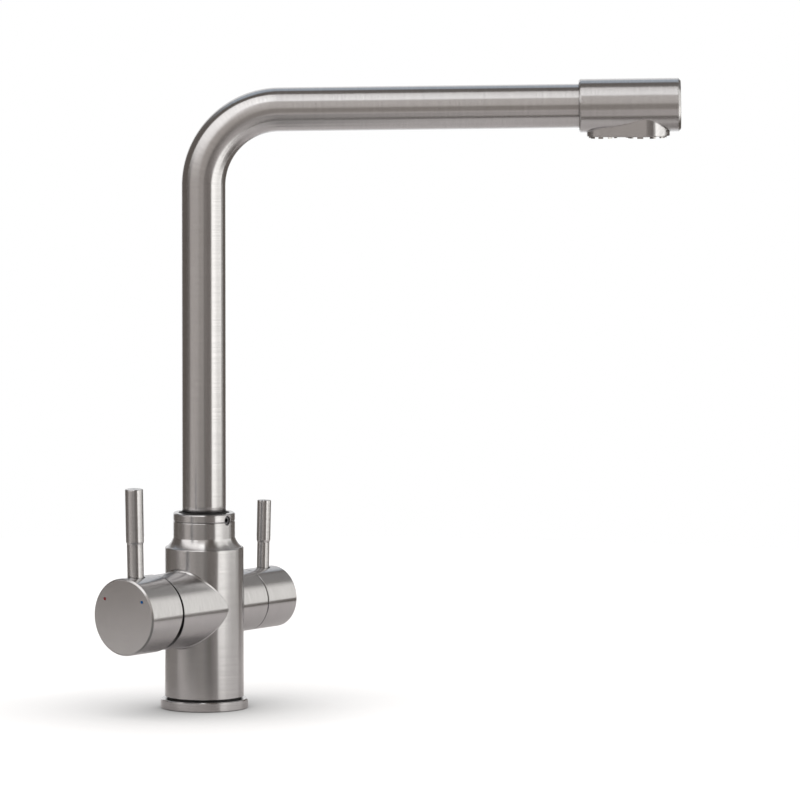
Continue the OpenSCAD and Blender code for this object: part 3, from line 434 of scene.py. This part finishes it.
def small_finishes(finishes):
    """The finish of each slot apart from the brushed steel"""
    return {
        # Machined brass: bright yellow metal with fine tool marks square to X, with painted shade that
        # darkens it deep in narrow slits
        "brass": small_part("turned_brass", finishes.brass, metallic=1.0, rough=0.24, pattern=0.4 * MM,
                            stretch=(3, 0.4, 0.4), depth=0.004 * MM, painted_shade_reach=8 * MM),
        # Nitrile rubber, moulded: dead matt black with a fine pitted skin
        "black_rubber": small_part("moulded_nitrile_rubber", finishes.rubber, rough=0.62,
                                   pattern=0.3 * MM, depth=0.01 * MM),
        # Black acetal, moulded: smooth satin black with a faint flow
        "black_acetal": small_part("moulded_black_acetal", finishes.black, rough=0.38,
                                   pattern=1.5 * MM, stretch=(1, 1, 2), depth=0.004 * MM),
        # White acetal, moulded: waxy off-white
        "white_acetal": small_part("moulded_white_acetal", finishes.white, rough=0.36,
                                   pattern=2 * MM, stretch=(1, 1, 2), depth=0.004 * MM, spread=0.03),
        # Glass filled nylon, moulded: mid grey, matt, with short fibre flecks
        "grey_plastic": small_part("moulded_grey_nylon", finishes.grey, rough=0.5, pattern=0.6 * MM,
                                   stretch=(1, 3, 1), depth=0.006 * MM, spread=0.08),
        # Alumina, fired and lapped: dense warm white with a smooth polish
        "alumina": small_part("lapped_alumina", finishes.ceramic, rough=0.18, pattern=0.8 * MM,
                              depth=0.001 * MM, spread=0.02),
        # Polyethylene hose, extruded: milky white, its pattern drawn out upright
        "hose_plastic": small_part("extruded_polyethylene", finishes.white, rough=0.4, pattern=2 * MM,
                                   stretch=(2, 2, 0.2), depth=0.003 * MM, spread=0.03),
        # Set screw steel, blackened: dark metal with a dull sheen
        "screw_steel": small_part("blackened_screw_steel", linear("#77777A"), metallic=1.0, rough=0.36,
                                  pattern=0.4 * MM, depth=0.006 * MM),
        # Plated brass, barrel polished: a little darker and smoother than the brushed steel
        "aerator_steel": small_part("polished_nickel_plate", linear("#B4B2B0"), metallic=1.0, rough=0.2,
                                    pattern=1.2 * MM, depth=0.002 * MM, spread=0.06),
        # Stoved enamel in a drilled dot: glossy colour under a thin clear coat
        "red_enamel": small_part("stoved_red_enamel", finishes.red, rough=0.22, pattern=0.6 * MM,
                                 depth=0.002 * MM, spread=0.08, coat=0.5),
        "blue_enamel": small_part("stoved_blue_enamel", finishes.blue, rough=0.22, pattern=0.6 * MM,
                                  depth=0.002 * MM, spread=0.08, coat=0.5),
    }


# Pieces

# Rows of the tube along its foot, its bend and its arm, and points round it
FOOT_ROWS, BEND_ROWS, ARM_ROWS, TUBE_SIDES = 40, 72, 40, 120


def spout_frame(sizes):
    """Directions of the spout: level along the arm, level across it, and the arm's own direction"""
    ahead = math.cos(sizes.spout_turn) * X + math.sin(sizes.spout_turn) * Y
    across = np.cross(Z, ahead)
    arm = math.cos(sizes.arm_rise) * ahead + math.sin(sizes.arm_rise) * Z
    return ahead, across, arm


class TAP_OT_spout_tube(bpy.types.Operator):
    """Draws the bent spout tube with its wall, and brushes it along its own map"""
    bl_idname = "tap.spout_tube"
    bl_label = "Spout tube"

    def execute(self, context):
        """The centre line is a straight, an arc and a straight. A circle is carried along it, out on the
        outer radius and back on the inner one, and the two ends are flat rims."""
        sizes = context.scene.tap_sizes
        ahead, across, arm = spout_frame(sizes)
        foot_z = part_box("spout_tube")[0].z
        upright = np.linspace(foot_z, sizes.bend_z, FOOT_ROWS)[:-1, None] * Z
        sweep = math.pi / 2 - sizes.arm_rise
        turn = np.linspace(0, sweep, BEND_ROWS)[:, None]
        hub = sizes.bend_r * ahead + sizes.bend_z * Z
        bend = hub + sizes.bend_r * (np.sin(turn) * Z - np.cos(turn) * ahead)
        straight = bend[-1] + np.linspace(0, sizes.arm_l, ARM_ROWS)[1:, None] * arm
        line = np.concatenate([upright, bend, straight])
        outward = np.concatenate([np.tile(-ahead, (len(upright), 1)), unit(bend - hub),
                                  np.tile(unit(bend[-1] - hub), (len(straight), 1))])
        along = np.append(0, np.cumsum(np.linalg.norm(np.diff(line, axis=0), axis=1)))
        outer = np.full(len(line), sizes.tube_d / 2)
        there = np.arange(len(line))
        order = np.concatenate([there, there[::-1]])
        radii = np.concatenate([outer, outer - sizes.tube_wall])
        grid = rings(line[order], outward[order], np.tile(across, (len(order), 1)), radii, TUBE_SIDES)
        tube = grid_piece("spout_tube_skin", grid, np.concatenate([along, along[-1] + along]), loop=True)
        dress(stands_for(tube, "spout_tube"), mapped_steel("brushed_stainless_tube"))
        return {"FINISHED"}


class TAP_OT_outlet_head(bpy.types.Operator):
    """Brushes the outlet head round the arm, and its boss round the outlets"""
    bl_idname = "tap.outlet_head"
    bl_label = "Outlet head"

    def execute(self, context):
        sizes = context.scene.tap_sizes
        ahead, across, arm = spout_frame(sizes)
        sweep = math.pi / 2 - sizes.arm_rise
        start = (sizes.bend_r * (1 - math.cos(sweep)) * ahead
                 + (sizes.bend_z + sizes.bend_r * math.sin(sweep)) * Z)
        steel = turned_steel("brushed_stainless_head", start, arm, np.cross(across, arm),
                             HEAD_R + HEAD_STEP, HEAD_EDGE)
        dress(frame["nodes"]["spout_head"], steel)
        return {"FINISHED"}


# Shape of each lever in millimetres: distance of its axis from the upright axis, lean towards the knob's
# face in degrees, foot of its shank above the knob's axis, and diameter and length of its root in the
# knob, of its shank and of its grip
LEVERS = {
    "mixer_lever": (-59.8, 1.5, 21.35, (5, 8), (9.4, 19.8), (10.3, 31.2)),
    "filter_lever": (51.8, 1.9, 16.75, (4, 8), (7, 15.2), (7.9, 24.2)),
}


class TAP_OT_levers(bpy.types.Operator):
    """Turns the two pin levers with rounded rims"""
    bl_idname = "tap.levers"
    bl_label = "Levers"

    def execute(self, context):
        """Each profile is a stepped line from the root's centre to the top's centre, whose rims are arcs
        and whose grip starts with a chamfer"""
        sizes = context.scene.tap_sizes
        for node, (place, lean, foot, root, shank, grip) in LEVERS.items():
            out = math.copysign(1, place)
            axis = np.array((out * math.sin(math.radians(lean)), 0, math.cos(math.radians(lean))))
            step = foot + shank[1]
            top = step + grip[1]
            chamfer = sizes.chamfer / MM
            root_r, shank_r, grip_r = root[0] / 2, shank[0] / 2, grip[0] / 2
            corners = np.array([
                (0, foot - root[1]), (root_r, foot - root[1]), (root_r, foot), (shank_r, foot),
                (shank_r, step), (grip_r, step + chamfer), (grip_r, top), (0, top),
            ]) * MM
            rim = sizes.rim
            profile = rounded(corners, (0, rim / 2, 0, rim / 4, 0, rim / 4, rim, 0))
            lever = turned_piece(node + "_turned", (place * MM, 0, KNOB_Z), axis, profile)
            dress(stands_for(lever, node), mapped_steel("brushed_stainless_" + node))
        return {"FINISHED"}


# Each bead's side of the body, the branch's radius on the upright axis and at its mouth, and the distance
# of the mouth from that axis, in millimetres
BEADS = {
    "mixer_bead": (-1, 22.1, 21.4, 42.7),
    "filter_bead": (1, 17.5, 17.5, 36),
}
# Points along a bead, points over its face, and rounds in which its place settles
BEAD_POINTS, FACE_POINTS, ROUNDS = 240, 9, 6


class TAP_OT_body(bpy.types.Operator):
    """Brushes the valve body, its branches and the base ring, and lays the beads where they meet"""
    bl_idname = "tap.body"
    bl_label = "Body and beads"

    def execute(self, context):
        """A ball of the bead's radius rolls in the corner between the upright cylinder R and the branch, a
        level cone that is r wide there. Its centre keeps R + bead from one axis and r + bead from the
        other, and the bead's face is its arc from one touching point to the other, closed through the
        corner behind."""
        sizes = context.scene.tap_sizes
        body_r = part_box("valve_body")[1].y
        middle = (0, 0, KNOB_Z)
        dress(frame["nodes"]["valve_body"],
              turned_steel("brushed_stainless_body", middle, Z, X, body_r + BODY_STEP))
        dress(frame["nodes"]["base_ring"], turned_steel("brushed_stainless_ring", middle, Z))
        steel = turned_steel("brushed_stainless_beads", middle, Z)
        bead = sizes.bead
        t = np.linspace(0, 2 * math.pi, BEAD_POINTS, endpoint=False)
        for name, (out, foot_r, mouth_r, mouth) in BEADS.items():
            along = np.full_like(t, body_r)
            for _ in range(ROUNDS):
                r = (foot_r + (mouth_r - foot_r) * along / (mouth * MM)) * MM
                centre = np.stack([(r + bead) * np.sin(t), (r + bead) * np.cos(t)], -1)
                along = np.sqrt((body_r + bead) ** 2 - centre[:, 0] ** 2)
            ball = np.stack([out * along, centre[:, 0], centre[:, 1]], -1)
            on_body = ball * np.array((1, 1, 0)) * body_r / (body_r + bead) + ball * Z
            on_branch = ball * np.array((0, 1, 1)) * (r / (r + bead))[:, None] + ball * X
            first, last = unit(on_body - ball), unit(on_branch - ball)
            angle = np.arccos(np.clip((first * last).sum(-1), -1, 1))[:, None]
            share = np.linspace(0, 1, FACE_POINTS)[:, None, None]
            arc = ball + bead * (np.sin((1 - share) * angle) * first
                                 + np.sin(share * angle) * last) / np.sin(angle)
            behind = (on_body + on_branch - ball)[None]
            grid = np.concatenate([arc, behind]) + np.array(middle)
            piece = grid_piece(name, grid, np.arange(len(grid)) * bead / (FACE_POINTS - 1), loop=True)
            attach(piece, "root")
            dress(piece, steel)
        return {"FINISHED"}


class TAP_OT_knobs(bpy.types.Operator):
    """Brushes both knobs round their shared axis"""
    bl_idname = "tap.knobs"
    bl_label = "Knobs"

    def execute(self, context):
        for node in ("mixer_cap", "filter_knob", "mixer_stem_pin"):
            dress(frame["nodes"][node], turned_steel("brushed_stainless_" + node, (0, 0, KNOB_Z), X))
        return {"FINISHED"}


class TAP_OT_small_parts(bpy.types.Operator):
    """Finishes seals, discs, cartridge, brass, screws, rims and dots"""
    bl_idname = "tap.small_parts"
    bl_label = "Small parts"

    def execute(self, context):
        made = small_finishes(context.scene.tap_finishes)
        for node, obj in frame["nodes"].items():
            if SLOTS[node] in made:
                dress(obj, made[SLOTS[node]])
        return {"FINISHED"}


# The studio as panels on a sphere round the tap: name, side that the azimuth is measured from, azimuths
# to the camera's right between its edges, elevations between its edges, softness, all in degrees, colour
# and strength
PANELS = (
    ("back_cloth", "back", -26, 16, -99, 34, 5, "#FFFFFF", 1.00),
    ("back_window", "back", -44, 22, 34, 60, 5, "#C8D1DB", 1.00),
    ("left_wall", "front", -76, 0, -22, 52, 8, "#BDB5AE", 1.00),
    ("left_glow", "front", -76, 15, 10, 48, 8, "#DAD3CD", 1.00),
    ("left_low", "front", -84, 44, -43, -14, 8, "#C8C0BC", 1.00),
    ("left_softbox", "front", -96, -27, 15, 99, 8, "#FFFCF9", 1.68),
    ("high_softbox", "front", -28, 3, 48, 99, 8, "#FFFEFC", 2.30),
    ("right_softbox", "front", 42, 106, -40, 39, 6, "#FFFDF8", 1.95),
    ("right_wing", "front", 64, 120, -3, 31, 6, "#FFFDF8", 1.28),
    ("right_top", "front", 62, 94, 39, 60, 6, "#FFFDF8", 1.32),
    ("right_screen", "front", 108, 152, 24, 92, 6, "#A4A2A0", 1.00),
)

# What lies on the floor round the tap, as reflections show it: name, distances from the tap towards the
# camera between its edges, distances to the camera's right between its edges, in metres, and colour
CARDS = (
    ("boards", -0.2, 0.165, -0.5, 0.765, "#C5C1BE"),
    ("sheet", -0.36, 0.285, -0.07, 0.28, "#F8F4F4"),
    ("front_card", 0.06, 0.8, -0.32, 0.07, "#989897"),
    ("front_strip", 0.235, 0.27, 0.04, 0.53, "#7B7572"),
    ("right_card", -0.14, 0.05, 0.29, 0.56, "#585047"),
    ("left_sheet", 0.035, 0.25, -0.5, -0.155, "#FFFCFB"),
)

# Softness of the cards' edges
CARD_SOFT = 20 * MM
# Corners of the floor's rim, how far it lies under the tap's foot, and size and tone of its mottling
RIM_POINTS = 72
FLOOR_DROP = 0.02 * MM
MOTTLE = 3 * MM
MOTTLE_TONE = 0.98
# Share of the cards' light that the painted shadow under the tap leaves, and how much of the floor's paint
# the camera sees
CARD_UNSHADED = 0.65
PAINT_SHARE = 0.5
# Width of the camera's sensor in millimetres, and the nearest and furthest distance that it sees in metres
SENSOR = 36
CLIP_NEAR, CLIP_FAR = 0.1, 50


def band(tree, value, low, high, soft):
    """1 where the value lies between low and high, falling smoothly to 0 over the soft edges"""
    off = add(tree, "Math", {"operation": "SUBTRACT"}, {0: value, 1: (low + high) / 2}).outputs[0]
    size = add(tree, "Math", {"operation": "ABSOLUTE"}, {0: off}).outputs[0]
    half = (high - low) / 2
    return add(tree, "MapRange", {"interpolation_type": "SMOOTHSTEP"},
               {"Value": size, 1: half + soft / 2, 2: half - soft / 2, 3: 0.0, 4: 1.0}).outputs[0]


def patch(tree, across, sides, upwards, ends, soft):
    """Mask of a soft edged rectangle in two measures"""
    wide, tall = band(tree, across, *sides, soft), band(tree, upwards, *ends, soft)
    return add(tree, "Math", {"operation": "MULTIPLY"}, {0: wide, 1: tall}).outputs[0]


def along_axes(tree, vector, axes):
    """Measures of a vector along the given axes"""
    return [add(tree, "VectorMath", {"operation": "DOT_PRODUCT"},
                {0: vector, 1: tuple(axis)}).outputs["Value"] for axis in axes]


class TAP_OT_studio(bpy.types.Operator):
    """Sets up camera, pale floor and the light that stands round the tap"""
    bl_idname = "tap.studio"
    bl_label = "Studio"

    def execute(self, context):
        studio = context.scene.tap_studio
        turn = studio.azimuth
        self.front = np.array((math.sin(turn), -math.cos(turn), 0))
        self.right = np.array((math.cos(turn), math.sin(turn), 0))
        context.scene.view_settings.view_transform = "Standard"
        self.camera(context, studio)
        self.floor(studio)
        self.world(context, studio)
        return {"FINISHED"}

    def camera(self, context, studio):
        """The camera looks from the front, raised by its elevation, at a point beside the upright axis"""
        back = self.front * math.cos(studio.elevation) + Z * math.sin(studio.elevation)
        up = np.cross(back, self.right)
        centre = Z * studio.centre_z
        eye = centre + back * studio.distance
        aim = centre + self.right * studio.aim_right - up * studio.aim_down
        data = bpy.data.cameras.new("camera")
        data.lens, data.sensor_width = studio.lens, SENSOR
        data.clip_start, data.clip_end = CLIP_NEAR, CLIP_FAR
        camera = bpy.data.objects.new("camera", data)
        camera.location = eye
        camera.rotation_euler = Vector(aim - eye).to_track_quat("-Z", "Y").to_euler()
        context.scene.collection.objects.link(camera)
        context.scene.camera = camera

    def floor(self, studio):
        """A level disc. Reflections show the cards that lie on it, and the room where none lies. For the
        camera it is pale all over and lifted to white. Besides the real shadow that its diffuse paint
        takes, a painted shadow darkens its colour, lift and cards where the tap stands close over it."""
        t = np.linspace(0, 2 * math.pi, RIM_POINTS, endpoint=False)
        points = studio.floor_reach * np.stack([np.cos(t), np.sin(t), 0 * t], -1) - FLOOR_DROP * Z
        mesh = bpy.data.meshes.new("floor")
        mesh.from_pydata(points, [], [tuple(range(len(t)))])
        if mesh.polygons[0].normal.z < 0:
            mesh.flip_normals()
        floor = bpy.data.objects.new("floor", mesh)
        bpy.context.scene.collection.objects.link(floor)
        material, tree = blank("painted_floor")
        rays = add(tree, "LightPath").outputs
        place = add(tree, "TexCoord").outputs["Object"]
        ahead, aside = along_axes(tree, place, (self.front, self.right))
        noise = add(tree, "TexNoise", None, {"Vector": place, "Scale": 1 / MOTTLE, "Detail": 2.0})
        colour = tuple(studio.floor)
        darker = tuple(c * MOTTLE_TONE for c in colour[:3]) + (1,)
        pale = add(tree, "Mix", {"data_type": "RGBA"},
                   {0: noise.outputs["Fac"], 6: darker, 7: colour}).outputs[2]
        mirrored, laid = (0.0, 0.0, 0.0, 1.0), 0.0
        for name, near, far, left, right, code in CARDS:
            mask = patch(tree, ahead, (near, far), aside, (left, right), CARD_SOFT)
            mirrored = add(tree, "Mix", {"data_type": "RGBA", "label": name},
                           {0: mask, 6: mirrored, 7: tuple(linear(code))}).outputs[2]
            laid = add(tree, "Math", {"operation": "MAXIMUM"}, {0: laid, 1: mask}).outputs[0]
        # Painted shadow: ambient occlusion under the tap darkens the floor's colour, its lift and the cards
        open_sky = add(tree, "AmbientOcclusion", {"samples": 24}, {"Distance": studio.shadow_reach})
        shade = add(tree, "Math", {"operation": "POWER"},
                    {0: open_sky.outputs["AO"], 1: studio.shadow_depth}).outputs[0]
        card_shade = add(tree, "Math", {"operation": "MULTIPLY_ADD"},
                         {0: shade, 1: 1 - CARD_UNSHADED, 2: CARD_UNSHADED}).outputs[0]
        paint_shade = add(tree, "Math", {"operation": "MULTIPLY"}, {0: shade, 1: PAINT_SHARE}).outputs[0]

        def scaled(what, share):
            return add(tree, "VectorMath", {"operation": "SCALE"}, {0: what, "Scale": share}).outputs[0]

        cards = add(tree, "BsdfDiffuse", None, {"Color": scaled(mirrored, card_shade)}).outputs[0]
        nothing = add(tree, "BsdfTransparent").outputs[0]
        reflected = add(tree, "MixShader", None, {0: laid, 1: nothing, 2: cards}).outputs[0]
        paint = add(tree, "BsdfDiffuse", None, {"Color": scaled(pale, paint_shade)}).outputs[0]
        strength = add(tree, "Math", {"operation": "MULTIPLY"}, {0: shade, 1: studio.floor_lift}).outputs[0]
        lift = add(tree, "Emission", None, {"Color": (1, 1, 1, 1), "Strength": strength}).outputs[0]
        seen = add(tree, "AddShader", None, {0: paint, 1: lift}).outputs[0]
        both = add(tree, "MixShader", None, {0: rays["Is Camera Ray"], 1: reflected, 2: seen}).outputs[0]
        add(tree, "OutputMaterial", None, {0: both})
        dress(floor, material)

    def world(self, context, studio):
        """Each panel is a soft edged rectangle in azimuth and elevation, painted over the one before it.
        The camera sees white all round, and mirrors see white where the back cloth hangs."""
        world = bpy.data.worlds.new("studio")
        world.use_nodes = True
        tree = world.node_tree
        tree.nodes.clear()
        view = add(tree, "TexCoord").outputs["Generated"]
        ahead, aside, above = along_axes(tree, view, (self.front, self.right, Z))
        behind = add(tree, "Math", {"operation": "MULTIPLY"}, {0: ahead, 1: -1.0}).outputs[0]
        azimuth = {
            "front": add(tree, "Math", {"operation": "ARCTAN2"}, {0: aside, 1: ahead}).outputs[0],
            "back": add(tree, "Math", {"operation": "ARCTAN2"}, {0: aside, 1: behind}).outputs[0],
        }
        elevation = add(tree, "Math", {"operation": "ARCSINE"}, {0: above}).outputs[0]
        colour = tuple(studio.room)
        for name, side, west, east, low, high, soft, code, strength in PANELS:
            west, east, low, high, soft = (math.radians(v) for v in (west, east, low, high, soft))
            mask = patch(tree, azimuth[side], (west, east), elevation, (low, high), soft)
            glow = tuple(c * strength for c in linear(code)[:3]) + (1,)
            colour = add(tree, "Mix", {"data_type": "RGBA", "label": name},
                         {0: mask, 6: colour, 7: glow}).outputs[2]
            if name == "back_cloth":
                cloth = mask
        rays = add(tree, "LightPath").outputs
        mirrored = add(tree, "Math", {"operation": "MAXIMUM"},
                       {0: rays["Is Glossy Ray"], 1: rays["Is Transmission Ray"]}).outputs[0]
        cloth_seen = add(tree, "Math", {"operation": "MULTIPLY"}, {0: mirrored, 1: cloth}).outputs[0]
        seen = add(tree, "Math", {"operation": "MAXIMUM"},
                   {0: rays["Is Camera Ray"], 1: cloth_seen}).outputs[0]
        light = add(tree, "Background", None, {"Color": colour, "Strength": studio.light}).outputs[0]
        white = add(tree, "Background", None, {"Color": (1, 1, 1, 1), "Strength": 1.0}).outputs[0]
        both = add(tree, "MixShader", None, {0: seen, 1: light, 2: white}).outputs[0]
        add(tree, "OutputWorld", None, {0: both})
        context.scene.world = world


OPERATORS = (TAP_OT_small_parts, TAP_OT_body, TAP_OT_knobs, TAP_OT_levers, TAP_OT_spout_tube,
             TAP_OT_outlet_head, TAP_OT_studio)
GROUPS = {"tap_sizes": TapSizes, "tap_finishes": TapFinishes, "tap_studio": TapStudio}


class TAP_PT_panel(bpy.types.Panel):
    """Lists the tap's settings and the steps that make it"""
    bl_idname = "TAP_PT_panel"
    bl_label = "Filtered water tap"
    bl_space_type = "VIEW_3D"
    bl_region_type = "UI"
    bl_category = "Tap"

    def draw(self, context):
        for group, kind in GROUPS.items():
            column = self.layout.column(align=True)
            for name in kind.__annotations__:
                column.prop(getattr(context.scene, group), name)
        for operator in OPERATORS:
            self.layout.operator(operator.bl_idname)


def register():
    for kind in (*GROUPS.values(), *OPERATORS, TAP_PT_panel):
        bpy.utils.register_class(kind)
    for group, kind in GROUPS.items():
        setattr(bpy.types.Scene, group, PointerProperty(type=kind))


def unregister():
    for group in GROUPS:
        delattr(bpy.types.Scene, group)
    for kind in (TAP_PT_panel, *reversed(OPERATORS), *reversed(GROUPS.values())):
        bpy.utils.unregister_class(kind)


def main():
    register()
    for operator in OPERATORS:
        group, name = operator.bl_idname.split(".")
        getattr(getattr(bpy.ops, group), name)()
    bpy.context.view_layer.update()


if __name__ == "__main__":
    main()
